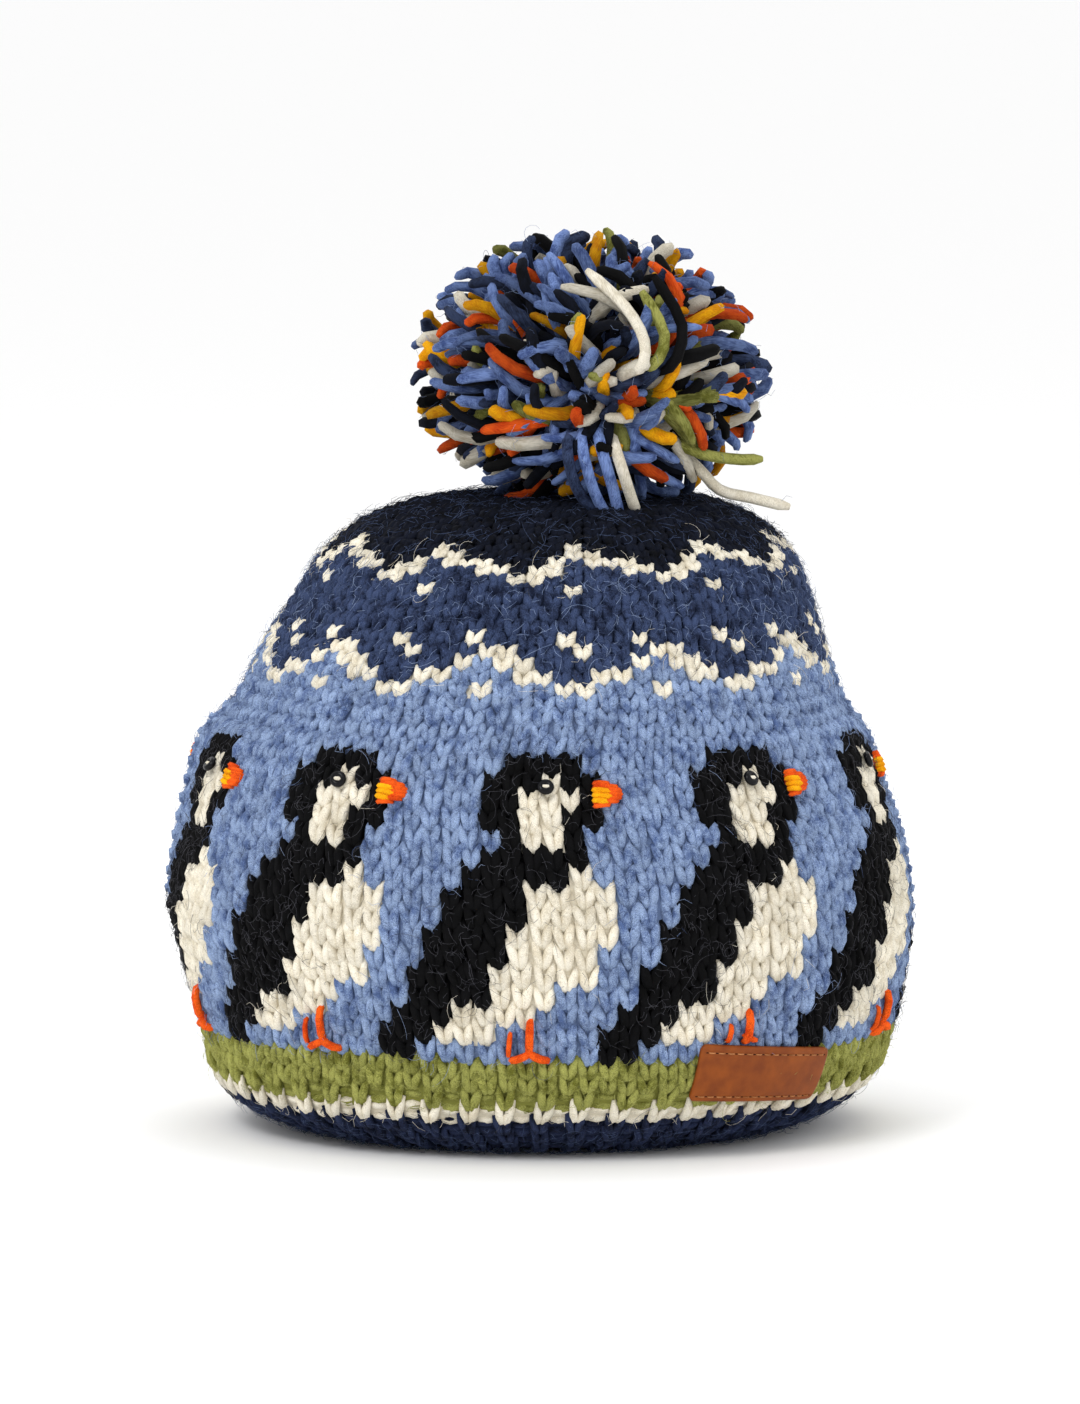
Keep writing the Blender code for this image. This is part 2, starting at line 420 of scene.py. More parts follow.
# (how far up the leg, out from the stitch's middle, height, radius)
LEG = (
    (0.00, 0.07, -1.00, 0.60),
    (0.20, 0.12, 0.05, 0.92),
    (0.46, 0.22, 0.38, 1.02),
    (0.76, 0.34, 0.02, 0.88),
    (1.00, 0.43, -1.05, 0.48),
)
LEG_START, LEG_RISE = -0.58, 1.60  # in heights of a course
# (across the stitch, height, radius)
BAR = ((-0.52, -1.0, 0.6), (-0.28, -0.3, 0.92), (0.0, -0.1, 0.96), (0.28, -0.3, 0.92),
       (0.52, -1.0, 0.6))
BARS = ((-0.27, -0.10), (0.23, 0.14))  # how high each lies and how it bows, in heights
BAR_LENGTH, BAR_SLIP = 1.05, 0.16
RIB_RISE = 0.0004
# how far one stitch may differ from the next, as shares of its own size
WIDTHS, HEIGHTS, GIRTHS, BAR_GIRTHS = (0.95, 1.05), (0.88, 1.10), (0.93, 1.05), (0.92, 1.10)
SLIP, LEAN_OVER = 0.08, 0.14
SHADES, BAR_SHADES, LEG_SHADES = (0.90, 1.10), (0.90, 1.05), (0.97, 1.03)

Strand = namedtuple("Strand", "points radii shade")
chance = random.Random(11)
uniform = chance.uniform


def geometry_tree(name, **inputs):
    """A tree of Geometry Nodes that takes a guide and these inputs, and their outputs."""
    tree = bpy.data.node_groups.new(name, "GeometryNodeTree")
    for key, kind in {"Geometry": "Geometry", **inputs}.items():
        tree.interface.new_socket(key, in_out="INPUT", socket_type="NodeSocket" + kind)
    tree.interface.new_socket("Geometry", in_out="OUTPUT", socket_type="NodeSocketGeometry")
    return tree, add(tree, "NodeGroupInput").outputs


def close_tree(tree, shape, material):
    """Ends a tree: the shape is smooth, real and of one material."""
    shape = add(tree, "GeometryNodeSetShadeSmooth", {"Geometry": shape})
    shape = add(tree, "GeometryNodeRealizeInstances", {"Geometry": shape})
    shape = add(tree, "GeometryNodeSetMaterial", {"Geometry": shape, "Material": material})
    add(tree, "NodeGroupOutput", {"Geometry": shape})


def marked(tree, shape, kind, key, value):
    """The shape, with the value that each of its points has now."""
    node = add(tree, "GeometryNodeCaptureAttribute", domain="POINT")
    node.capture_items.new(kind, key)
    give(tree, node, {"Geometry": shape, key: value})
    return node


def named(tree, key, kind="FLOAT"):
    """The attribute of that name."""
    return add(tree, "GeometryNodeInputNamedAttribute", {"Name": key}, data_type=kind)


def times(tree, first, second):
    """The product of two values."""
    return add(tree, "ShaderNodeMath", {0: first, 1: second}, operation="MULTIPLY")


def yarn_tree():
    """Turns guide lines into yarn: a twisted round strand with closed ends."""
    tree, given = geometry_tree("yarn", Sides="Int", Twist="Float", Wool="Material")
    line = add(tree, "GeometryNodeMeshToCurve", {"Mesh": given["Geometry"]})
    length = add(tree, "GeometryNodeSplineParameter").outputs["Length"]
    line = marked(tree, line, "FLOAT", "along", length)
    along = line.outputs["along"]
    ring = add(tree, "GeometryNodeCurvePrimitiveCircle", {"Resolution": given["Sides"]})
    place = add(tree, "GeometryNodeInputPosition")
    ring = marked(tree, ring, "VECTOR", "around", place)
    swept = add(tree, "GeometryNodeCurveToMesh", {
        "Curve": line, "Profile Curve": ring, "Scale": named(tree, "thick"), "Fill Caps": True,
    })
    turned = {"Vector": ring.outputs["around"], "Angle": times(tree, along, given["Twist"])}
    twisted = add(tree, "ShaderNodeVectorRotate", turned, rotation_type="Z_AXIS")
    parts = add(tree, "ShaderNodeSeparateXYZ", {"Vector": twisted}).outputs
    reach = add(tree, "ShaderNodeMath", {0: along, 1: named(tree, "phase")}, operation="ADD")
    fibre = add(tree, "ShaderNodeCombineXYZ", {"X": parts["X"], "Y": parts["Y"], "Z": reach})
    stored = {"Geometry": swept, "Name": "fibre", "Value": fibre}
    shape = add(tree, "GeometryNodeStoreNamedAttribute", stored,
                data_type="FLOAT_VECTOR", domain="POINT")
    close_tree(tree, shape, given["Wool"])
    return tree


YARN = yarn_tree()


def made_by(tree, name, guide, values):
    """The plain mesh that a tree makes of a guide, as a piece of the cosy."""
    holder = added(name + "_guide", guide)
    making = holder.modifiers.new(tree.name, "NODES")
    making.node_group = tree
    sockets = {item.name: item.identifier for item in tree.interface.items_tree}
    for key, value in values.items():
        making[sockets[key]] = value
    graph = bpy.context.evaluated_depsgraph_get()
    mesh = bpy.data.meshes.new_from_object(holder.evaluated_get(graph))
    bpy.data.objects.remove(holder)
    mesh.name = name
    piece = added(name, mesh)
    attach(piece, "root")
    return piece


def spun(name, strands, wool, sides=YARN_SIDES):
    """One piece of yarn ends or legs, each along its own guide line."""
    edges, first = [], 0
    values = {"thick": [], "shade": [], "phase": []}
    for strand in strands:
        count = len(strand.points)
        edges += [(first + step, first + step + 1) for step in range(count - 1)]
        first += count
        values["thick"] += strand.radii
        values["shade"] += [strand.shade] * count
        values["phase"] += [chance.random() * PHASES] * count
    guide = bpy.data.meshes.new(name)
    guide.from_pydata([point for strand in strands for point in strand.points], edges, [])
    for key, numbers in values.items():
        guide.attributes.new(key, "FLOAT", "POINT").data.foreach_set("value", numbers)
    return made_by(YARN, name, guide, {"Sides": sides, "Twist": TWIST, "Wool": wool})


def noisy(tree, where, scale, detail):
    """The strength of a noise texture."""
    given = {"Vector": where, "Scale": scale, "Detail": detail}
    return add(tree, "ShaderNodeTexNoise", given)


def toned(tree, amount, *tones):
    """A colour between two tones, each given with the amount at which it is plain."""
    ramp = add(tree, "ShaderNodeValToRGB", {"Fac": amount})
    for element, (place, colour) in zip(ramp.color_ramp.elements, tones):
        element.position = place
        element.color = (*colour, 1)
    return ramp


def wool_finish(wool, sheen=0.35, depth=0.6, speckled=0.3):
    """Plied wool: fine fibres along the twist, darker flecks, and a soft bloom."""
    material, tree, shader = new_finish(wool.name.replace("_", " ") + " wool")
    fibre = add(tree, "ShaderNodeAttribute", attribute_name="fibre").outputs["Vector"]
    shade = add(tree, "ShaderNodeAttribute", attribute_name="shade").outputs["Fac"]
    place = add(tree, "ShaderNodeTexCoord").outputs["Object"]
    drawn = add(tree, "ShaderNodeMapping", {"Vector": fibre, "Scale": DRAWN_OUT})
    streaks, hairs = noisy(tree, drawn, 0.6, 4.0), noisy(tree, drawn, 1.7, 2.0)
    patches = noisy(tree, place, 260.0, 3.0)
    fine = add(tree, "ShaderNodeMix", {"Factor": 0.5, "A": streaks, "B": hairs})
    mixed = toned(tree, times(tree, fine, patches), (0.16, wool.fleck), (0.29, wool.body))
    speckle = add(tree, "ShaderNodeMapRange", {
        "Value": hairs, "From Min": 0.38, "From Max": 0.62,
        "To Min": 1 - speckled, "To Max": 1 + speckled,
    })
    lit = {0: mixed, "Scale": times(tree, shade, speckle)}
    give(tree, shader, {
        "Base Color": add(tree, "ShaderNodeVectorMath", lit, operation="SCALE"),
        "Roughness": 0.95, "Specular IOR Level": 0.15,
        "Sheen Weight": sheen, "Sheen Roughness": 0.4,
        "Sheen Tint": (*[min(1, 1.3 * part) for part in wool.body], 1),
        "Normal": bumped(tree, fine, depth, 0.0004),
    })
    return material


RIBBED = ("hem", "edging", "low grass")


def stitch_width(course, column):
    """How wide one stitch is, drawn in where a slot pushes the knit aside."""
    inset = 0.04
    left = knit_point(course.place, (column + inset) / course.stitches)
    right = knit_point(course.place, (column + 1 - inset) / course.stitches)
    return (right - left).length / (1 - 2 * inset)


def above_floor(point, radius):
    """The point, or the one over it where the yarn rests on the floor."""
    return Vector((point.x, point.y, max(point.z, radius)))


def resting(points, radii, shade):
    """A strand, lifted where it would go into the floor."""
    return Strand([above_floor(*each) for each in zip(points, radii)], radii, shade)


def stitch_middle(course, column):
    """The share of the round where a stitch lies. A slot opens between two stitches."""
    slipped = 0
    for at in slot_open_at(course.place):
        slipped = at * course.stitches - round(at * course.stitches)
    return (column + 0.5 + slipped) / course.stitches


def knit_stitch(course, column, rise=0.0):
    """The two legs of one knit stitch."""
    here, across, up, out = knit_frame(course.place, stitch_middle(course, column))
    wide = stitch_width(course, column) * uniform(*WIDTHS)
    high = course.height * uniform(*HEIGHTS)
    thick = LEG_SHARE * course.width * uniform(*GIRTHS)
    here = here - out * (STITCH_SINK - rise)
    here += across * wide * uniform(-SLIP, SLIP)
    here += up * high * uniform(-SLIP, SLIP)
    lean = uniform(-LEAN_OVER, LEAN_OVER)
    shade = uniform(*SHADES)
    legs = []
    for side in (-1, 1):
        points = []
        for share, aside, height, _ in LEG:
            over = side * aside + lean * share
            risen = LEG_START * course.height + LEG_RISE * share * high
            points.append(here + across * wide * over + up * risen + out * thick * height)
        radii = [thick * girth for *_, girth in LEG]
        legs.append(resting(points, radii, shade * uniform(*LEG_SHADES)))
    return legs


def purl_stitch(course, column):
    """The two level bars of one purl stitch."""
    here, across, up, out = knit_frame(course.place, stitch_middle(course, column))
    here += up * course.height * uniform(-BAR_SLIP, BAR_SLIP)
    wide = stitch_width(course, column) * BAR_LENGTH
    thick = LEG_SHARE * course.width * uniform(*BAR_GIRTHS)
    shade = uniform(*BAR_SHADES)
    radii = [thick * girth for *_, girth in BAR]
    bars = []
    for rise, arch in BARS:
        points = []
        for over, height, _ in BAR:
            bow = arch * cos(pi * over)
            point = here + across * wide * over + up * course.height * (rise + bow)
            points.append(point + out * (thick * height - STITCH_SINK - RIB_RISE))
        bars.append(resting(points, radii, shade))
    return bars


legs_of = {sign: [] for sign in WOOLS}
for course in COURSES:
    for column in range(course.stitches):
        sign = wool_of(course, column)
        if course.pattern in RIBBED and column % 2:
            legs_of[sign] += purl_stitch(course, column)
        elif course.pattern in RIBBED:
            legs_of[sign] += knit_stitch(course, column, RIB_RISE)
        else:
            legs_of[sign] += knit_stitch(course, column)

wool_finishes = {
    sign: wool_finish(wool, depth=0.45, speckled=0.14) if sign == "w" else wool_finish(wool)
    for sign, wool in WOOLS.items()
}
for sign, wool in WOOLS.items():
    legs = legs_of[sign]
    halves = (legs[: len(legs) // 2], legs[len(legs) // 2 :]) if sign == "s" else (legs,)
    for number, half in enumerate(halves, 1):
        name = f"{wool.name}_stitches" + (f"_{number}" if len(halves) > 1 else "")
        spun(name, half, wool_finishes[sign])

# --------------------------------------
# The edges of the knit. Along each slot the yarn turns back round the edge, one
# loop a course; round the mouth it is the cast-on, one loop a stitch.

EDGE_SINK, EDGE_DEEP = 0.0009, 0.0003  # a loop's middle, in from the edge and from the stitches
EDGE_HALF = 0.0016  # half the loop's depth through the cloth
EDGE_SLANT = 0.7  # from one end of a loop to the other, in heights
# (away from the edge, depth, radius)
EDGE_LOOP = ((1.5, -0.9, 0.7), (0.5, -1.0, 0.95), (0.0, -0.45, 0.95), (0.0, 0.45, 0.95),
             (0.5, 1.0, 0.95), (1.5, 0.8, 0.7))
CAST_ON_RADIUS, CAST_ON_LIFT, CAST_ON_IN, CAST_ON_DIP = 0.0012, 0.0014, 0.0004, 0.0008
CAST_ON_PLACE = 0.02
CAST_ON_LOOP = ((-0.62, 0.6), (-0.3, 1.0), (0.0, 1.1), (0.3, 1.0), (0.62, 0.6))  # (across, radius)


def slot_edge(slot, side, loops):
    """Adds the loops up one edge of a slot, each in the wool of its course."""
    at = (slot.bearing - START) / tau
    for course in COURSES:
        if abs(section_at(course.place).height - slot.middle) > slot.height / 2:
            continue
        beside = at + side * 0.5 / course.stitches
        sign = wool_of(course, int((beside % 1) * course.stitches))
        here, across, up, out = knit_frame(course.place, (at + side * 1e-5) % 1)
        radius = LEG_SHARE * course.width * uniform(0.9, 1.0)
        middle = here - out * (STITCH_SINK + EDGE_DEEP)
        points = []
        for step, (inward, depth, _) in enumerate(EDGE_LOOP):
            slant = (step / (len(EDGE_LOOP) - 1) - 0.5) * EDGE_SLANT
            point = middle + across * side * (EDGE_SINK + inward * radius)
            points.append(point - out * depth * EDGE_HALF + up * slant * course.height)
        radii = [radius * girth for _, _, girth in EDGE_LOOP]
        loops.setdefault(sign, []).append(Strand(points, radii, uniform(0.9, 1.08)))


def cast_on():
    """The loops round the mouth, which the cosy stands on."""
    loops = []
    for column in range(ROUND):
        points = []
        for share, _ in CAST_ON_LOOP:
            here, across, up, out = knit_frame(CAST_ON_PLACE, (column + 0.5 + share) / ROUND)
            dip = CAST_ON_DIP * (2 * share) ** 2
            point = here + Vector((0, 0, CAST_ON_LIFT + dip)) - up * (CAST_ON_IN - dip)
            points.append(above_floor(point, 1.1 * CAST_ON_RADIUS))
        radii = [CAST_ON_RADIUS * girth for _, girth in CAST_ON_LOOP]
        loops.append(Strand(points, radii, uniform(0.9, 1.1)))
    return loops


edge_loops = {"h": cast_on()}
for slot in SLOTS:
    for side in (-1, 1):
        slot_edge(slot, side, edge_loops)
edges = [
    spun(WOOLS[sign].name + "_edge", loops, wool_finishes[sign])
    for sign, loops in edge_loops.items()
]

# --------------------------------------
# The birds' bills and feet. Embroidered over the knit in thick wool: satin
# stitches in orange with yellow over them for the bill, and straight stitches
# for the legs and toes.

ORANGE = dyed("orange", (232, 92, 30), (196, 62, 18))
YELLOW = dyed("yellow", (244, 172, 20), (222, 138, 12))
FLOCK = range(ROUND // BIRDS.repeat)
BIRD_FIRST_COURSE = [course.pattern for course in COURSES].index("birds")
BILL_AT = (11.2, 13.5)  # column and course of the bill's root in the chart
BILL_COLUMNS, BILL_HALF, BILL_CLEAR = 1.4, 0.0029, 0.3  # clear of a slot, in columns
BILL_ROWS = 7
YELLOW_ROWS = ((-0.5, 0.50), (-0.05, 0.68), (0.40, 0.60))  # (height, length)
ORANGE_LIFT, YELLOW_LIFT = 0.0004, 0.0010
SATIN_RADIUS = 0.00074
SEWN = ((0.0, -1.2, 0.7), (0.06, 0.0, 0.95), (0.3, 0.8, 1.05), (0.7, 0.8, 1.05), (0.94, 0.0, 0.95),
        (1.0, -1.2, 0.7))  # (along a stitch, height, radius)
PATCH_PLACE, PATCH_REACH = Vector((0.056, -0.068, 0.0215)), 0.012
FOOT_LINES = (  # ((column, course), (column, course), radius)
    ((7.3, 2.1), (7.15, 0.25), 0.0011),
    ((6.3, 1.4), (6.1, 0.1), 0.0007),
    ((7.15, 0.3), (6.2, -0.1), 0.0010),
    ((7.1, 0.35), (8.05, -0.1), 0.0011),
)
FOOT_LINES_AT_PATCH = (  # the patch is sewn over this foot's toes
    ((7.3, 2.1), (7.15, 0.42), 0.0011),
    ((6.3, 1.4), (6.1, 0.56), 0.0007),
    ((7.1, 0.78), (7.75, 0.5), 0.0008),
)


def bird_spot(bird, column, row):
    """The frame of the knit at a place in one bird's chart."""
    course = BIRD_FIRST_COURSE + row
    low = int(course)
    share = course - low
    place = COURSES[low].place * (1 - share) + COURSES[low + 1].place * share
    return knit_frame(place, (BIRDS.start + BIRDS.repeat * bird + column + 0.5) / ROUND)


def sewn(start, end, out, radius, lift):
    """One straight stitch: up through the knit, over it and down again."""
    points = [start.lerp(end, share) + out * (lift + rise * radius) for share, rise, _ in SEWN]
    return Strand(points, [radius * girth for _, _, girth in SEWN], uniform(0.93, 1.07))


def bill(bird):
    """The orange and the yellow stitches of one bill, kept off the slots."""
    column, row = BILL_AT
    end_column = BIRDS.start + BIRDS.repeat * bird + column + BILL_COLUMNS + 0.5
    for slot in SLOTS:
        past = end_column - (slot.bearing - START) / tau * ROUND
        if -BILL_CLEAR < past < BILL_COLUMNS + 1:
            column -= past + BILL_CLEAR
    here, across, up, out = bird_spot(bird, column, row)
    away = bird_spot(bird, column + BILL_COLUMNS, row)[0] - here
    orange, yellow = [], []
    for step in range(BILL_ROWS):
        over = 2 * step / (BILL_ROWS - 1) - 1
        start = here + up * BILL_HALF * over
        length = 0.32 + 0.68 * sqrt(1 - (0.95 * over) ** 2)
        end = start + away * length - up * BILL_HALF * 0.10 * over
        orange.append(sewn(start, end, out, SATIN_RADIUS, ORANGE_LIFT))
    for over, length in YELLOW_ROWS:
        start = here + up * BILL_HALF * over - across * 0.0003
        end = start + away * length - up * 0.0006
        yellow.append(sewn(start, end, out, SATIN_RADIUS, YELLOW_LIFT))
    return orange, yellow


orange_stitches, yellow_stitches = [], []
for bird in FLOCK:
    over, under = bill(bird)
    orange_stitches += over
    yellow_stitches += under
    ankle = bird_spot(bird, *FOOT_LINES[0][1])[0]
    at_patch = (ankle - PATCH_PLACE).length < PATCH_REACH
    for start, end, radius in FOOT_LINES_AT_PATCH if at_patch else FOOT_LINES:
        first, last = bird_spot(bird, *start), bird_spot(bird, *end)
        out = (first[3] + last[3]).normalized()
        orange_stitches.append(sewn(first[0], last[0], out, radius, ORANGE_LIFT))
embroidery = [
    spun("orange_embroidery", orange_stitches, wool_finish(ORANGE, 0.2)),
    spun("yellow_embroidery", yellow_stitches, wool_finish(YELLOW, 0.2)),
]

# --------------------------------------
# The birds' eyes. A small black glass bead each, sewn on through its hole with
# a stitch of cream yarn. The pale stitch lies in the hole as a painted glint,
# standing in for the highlight on the glass.

EYE_AT = (8.75, 13.9)
BEAD_RADIUS, BEAD_HALF = 0.00128, 0.00090  # of the ring's middle, and of its body
BEAD_LIFT = 0.0010
# the cream stitch is raised into the bead's hole, where it shows as a painted glint
GLINT_THREAD_HALF, GLINT_THREAD_RADIUS, GLINT_THREAD_LIFT = 0.0012, 0.0005, 0.0012


def bead_tree():
    """A ring bead on every point, its hole along the point's way out."""
    tree, given = geometry_tree("beads", Radius="Float", Half="Float", Glass="Material")
    ring, body = [
        add(tree, "GeometryNodeCurvePrimitiveCircle", {"Resolution": sides, "Radius": given[key]})
        for key, sides in (("Radius", 28), ("Half", 16))
    ]
    facing = {"Vector": named(tree, "facing", "FLOAT_VECTOR")}
    beads = add(tree, "GeometryNodeInstanceOnPoints", {
        "Points": given["Geometry"],
        "Instance": add(tree, "GeometryNodeCurveToMesh", {"Curve": ring, "Profile Curve": body}),
        "Rotation": add(tree, "FunctionNodeAlignRotationToVector", facing, axis="Z"),
    })
    close_tree(tree, beads, given["Glass"])
    return tree


def plain_finish(name, colour, roughness, specular=0.5):
    """One even colour."""
    material, tree, shader = new_finish(name)
    given = {"Base Color": (*colour, 1), "Roughness": roughness, "Specular IOR Level": specular}
    give(tree, shader, given)
    return material


spots = [bird_spot(bird, *EYE_AT) for bird in FLOCK]
eyes = bpy.data.meshes.new("eyes")
eyes.from_pydata([here + out * BEAD_LIFT for here, _, _, out in spots], [], [])
looks = []
for _, across, up, out in spots:
    tipped = out + across * uniform(-0.3, 0.3) + up * uniform(-0.1, 0.4)
    looks.extend(tipped.normalized())
eyes.attributes.new("facing", "FLOAT_VECTOR", "POINT").data.foreach_set("vector", looks)
glass = plain_finish("black glass", (0.004, 0.004, 0.005), 0.06, 0.15)
given = {"Radius": BEAD_RADIUS, "Half": BEAD_HALF, "Glass": glass}
beads = made_by(bead_tree(), "eye_beads", eyes, given)
# the cream stitch in each bead's hole is a painted glint, pale yarn standing in for the glass's
# highlight
glint_threads = []
for here, across, _, out in spots:
    reach = across * GLINT_THREAD_HALF
    glint_threads.append(sewn(here - reach, here + reach, out, GLINT_THREAD_RADIUS, GLINT_THREAD_LIFT))
glint_knots = spun("eye_glint_threads", glint_threads, wool_finishes["w"])

# --------------------------------------
# The leather patch. A plain piece of tan leather, sewn to the knit above the
# hem with a row of running stitches along each long edge.

PATCH_LENGTH, PATCH_WIDTH, PATCH_THICKNESS = 0.0405, 0.0145, 0.0014
PATCH_BEARING, PATCH_HEIGHT, PATCH_TILT = radians(-52.5), 0.0215, radians(-5)
PATCH_LIFT, PATCH_CORNER = 0.0003, 0.0016
PATCH_COLUMNS, PATCH_ROWS = 64, 26
ROUNDED, ROUNDED_DEPTH = 0.0007, 0.0004  # along the edges
PRESSED, PRESSED_DEPTH, PRESSED_END = 0.0006, 0.00022, 0.001  # along the seams
SEAM_INSET, SEAM_STITCHES, SEAM_RADIUS = 0.0016, 14, 0.00018
SEAM_SINK = 0.00018
SEAM_THREAD = dyed("seam_thread", (192, 132, 86), (140, 88, 52))
# dark brown slits sunk into the leather where the seam is pierced: painted shade for the shadow in
# each hole
HOLE_SHADE = dyed("seam_hole_shade", (48, 24, 12), (36, 18, 9))
HOLE_RADIUS, HOLE_HALF, HOLE_SINK = 0.0003, 0.17, 0.0004  # half its length is in stitches


def patch_spot(place, bearing):
    """A point of the knit's surface, and the ways to points just beside and above it."""
    here, step = knit_surface(place, bearing), 0.001
    beside = knit_surface(place, bearing + step) - here
    return here, beside, knit_surface(place + step, bearing) - here, step


patch_middle = 2.0
while section_at(patch_middle).height < PATCH_HEIGHT:
    patch_middle += 0.001
_, over, higher, step = patch_spot(patch_middle, PATCH_BEARING)
wide_turn, high_turn = over.length / step, higher.length / step


def patch_frame(across, up):
    """Where a point of the patch lies on the knit, and the way out there."""
    turned = Matrix.Rotation(PATCH_TILT, 2) @ Vector((across, up))
    place = patch_middle + turned.y / high_turn
    here, over, higher, _ = patch_spot(place, PATCH_BEARING + turned.x / wide_turn)
    return here, over.cross(higher).normalized()


def patch_mesh():
    """The slab, with rounded corners and softened edges."""
    columns, rows, long, wide = PATCH_COLUMNS, PATCH_ROWS, PATCH_LENGTH / 2, PATCH_WIDTH / 2
    bm = bmesh.new()
    shape = bm.loops.layers.uv.new("UVMap")
    tops, unders = {}, {}
    for row in range(rows + 1):
        for column in range(columns + 1):
            x, y = 2 * column / columns - 1, 2 * row / rows - 1
            across, up = x * long, y * wide
            inside = min(long - abs(across), wide - abs(up))
            past_x = max(abs(across) - (long - PATCH_CORNER), 0)
            past_y = max(abs(up) - (wide - PATCH_CORNER), 0)
            if past_x and past_y:
                longest = max(past_x, past_y) / hypot(past_x, past_y)
                across -= copysign(past_x * (1 - longest), across)
                up -= copysign(past_y * (1 - longest), up)
            soft = max(0, 1 - inside / ROUNDED) ** 2
            seam = abs(wide - abs(up) - SEAM_INSET)
            pressed = exp(-((seam / PRESSED) ** 2)) * (abs(across) < long - PRESSED_END)
            here, out = patch_frame(across, up)
            height = PATCH_THICKNESS - ROUNDED_DEPTH * soft - PRESSED_DEPTH * pressed
            tops[column, row] = bm.verts.new(here + out * (PATCH_LIFT + height))
            unders[column, row] = bm.verts.new(here + out * PATCH_LIFT)

    def quad(corners, marks):
        face = bm.faces.new(corners)
        face.smooth = True
        for loop, (column, row) in zip(face.loops, marks):
            loop[shape].uv = (column / columns, row / rows)

    for row in range(rows):
        for column in range(columns):
            marks = ((column, row), (column + 1, row), (column + 1, row + 1), (column, row + 1))
            quad([tops[mark] for mark in marks], marks)
            quad([unders[mark] for mark in reversed(marks)], marks)
    rim = [(column, 0) for column in range(columns)]
    rim += [(columns, row) for row in range(rows)]
    rim += [(columns - column, rows - row) for column, row in rim]
    for mark, after in zip(rim, rim[1:] + rim[:1]):
        corners = (tops[mark], unders[mark], unders[after], tops[after])
        quad(corners, (mark, mark, after, after))
    return bm


def leather_finish():
    """Vegetable-tanned leather: pores and faint clouds."""
    material, tree, shader = new_finish("tan leather")
    place = add(tree, "ShaderNodeTexCoord").outputs["Object"]
    clouds = noisy(tree, place, 220.0, 5.0)
    pores = add(tree, "ShaderNodeTexVoronoi", {"Vector": place, "Scale": 2600.0})
    give(tree, shader, {
        "Base Color": toned(tree, clouds, (0.3, linear(113, 54, 18)), (0.72, linear(141, 73, 23))),
        "Roughness": 0.48, "Specular IOR Level": 0.2,
        "Normal": bumped(tree, pores, 0.25, 0.0001),
    })
    return material


patch = solid("tan_patch", patch_mesh(), leather_finish())
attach(patch, "root")
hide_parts("leather_patch")


def on_seam(side, stitch, height):
    """A point of a seam, so many stitches along it, and the way out there."""
    along = (stitch / SEAM_STITCHES - 0.5) * (PATCH_LENGTH - 2 * SEAM_INSET)
    here, out = patch_frame(along, side * (PATCH_WIDTH / 2 - SEAM_INSET))
    return here + out * (PATCH_LIFT + height), out


seams, hole_shades = [], []
for side in (-1, 1):
    for number in range(SEAM_STITCHES):
        start, out = on_seam(side, number + HOLE_HALF, 0)
        end, _ = on_seam(side, number + 1 - HOLE_HALF, 0)
        seams.append(sewn(start, end, out, SEAM_RADIUS, PATCH_THICKNESS - SEAM_SINK))
    # a dark slit at each hole of the seam, painted shade
    for number in range(SEAM_STITCHES + 1):
        slit = [on_seam(side, number + share, PATCH_THICKNESS - HOLE_SINK)[0]
                for share in (-HOLE_HALF, 0, HOLE_HALF)]
        hole_shades.append(Strand(slit, [0.7 * HOLE_RADIUS, HOLE_RADIUS, 0.7 * HOLE_RADIUS], 1.0))
seam = spun("patch_seam", seams, wool_finish(SEAM_THREAD, 0.1))
seam_hole_shades = spun("patch_seam_hole_shades", hole_shades, wool_finish(HOLE_SHADE, 0), sides=8)

# --------------------------------------
# The pompom. Ends of all the cosy's wools, tied tightly through the middle, cut
# and fluffed out, so that they lie over each other away from two partings.

POMPOM_MIDDLE = Vector((0.013, 0.0, 0.1970))
POMPOM_HALF = Vector((0.0455, 0.0430, 0.0365))
POMPOM_ENDS = 980
POMPOM_SKY = dyed("sky_blue", (120, 144, 200), (66, 84, 136))
POMPOM_WOOLS = {**WOOLS, "s": POMPOM_SKY, "y": YELLOW, "o": ORANGE}
POMPOM_MIX = (  # wool, share of the ends, radius at the cut
    ("s", 0.33, 0.80), ("n", 0.12, 0.82), ("d", 0.10, 0.86), ("k", 0.13, 0.90),
    ("y", 0.10, 0.88), ("o", 0.08, 0.88), ("w", 0.08, 0.92), ("g", 0.06, 0.88),
)
PARTINGS = (Vector((0.12, -1.0, -0.15)), Vector((-0.25, 1.0, 0.1)))
LEAN = radians(38)  # from an end's root to its tip, less far from a parting
HALF_BALL = radians(88)
STRAYING = radians(30)  # of the lean, from straight away from the parting
END_RADIUS = 0.00184
# (along the end, radius)
END_SHAPE = ((0, 0.8), (0.25, 0.95), (0.48, 1), (0.68, 1.04), (0.86, 1.02), (0.97, 0.9), (1, 0.5))
# STRAY_SHADE keeps the long stray ends, which lie outside the others, brighter than them: painted
# light
STRAY_GIRTH, STRAY_TIP, STRAY_SHADE = 0.85, 0.5, 0.85
HEART_HALF, HEART_SWELL = 0.62, 0.06  # of the dark ball that fills the pompom's middle
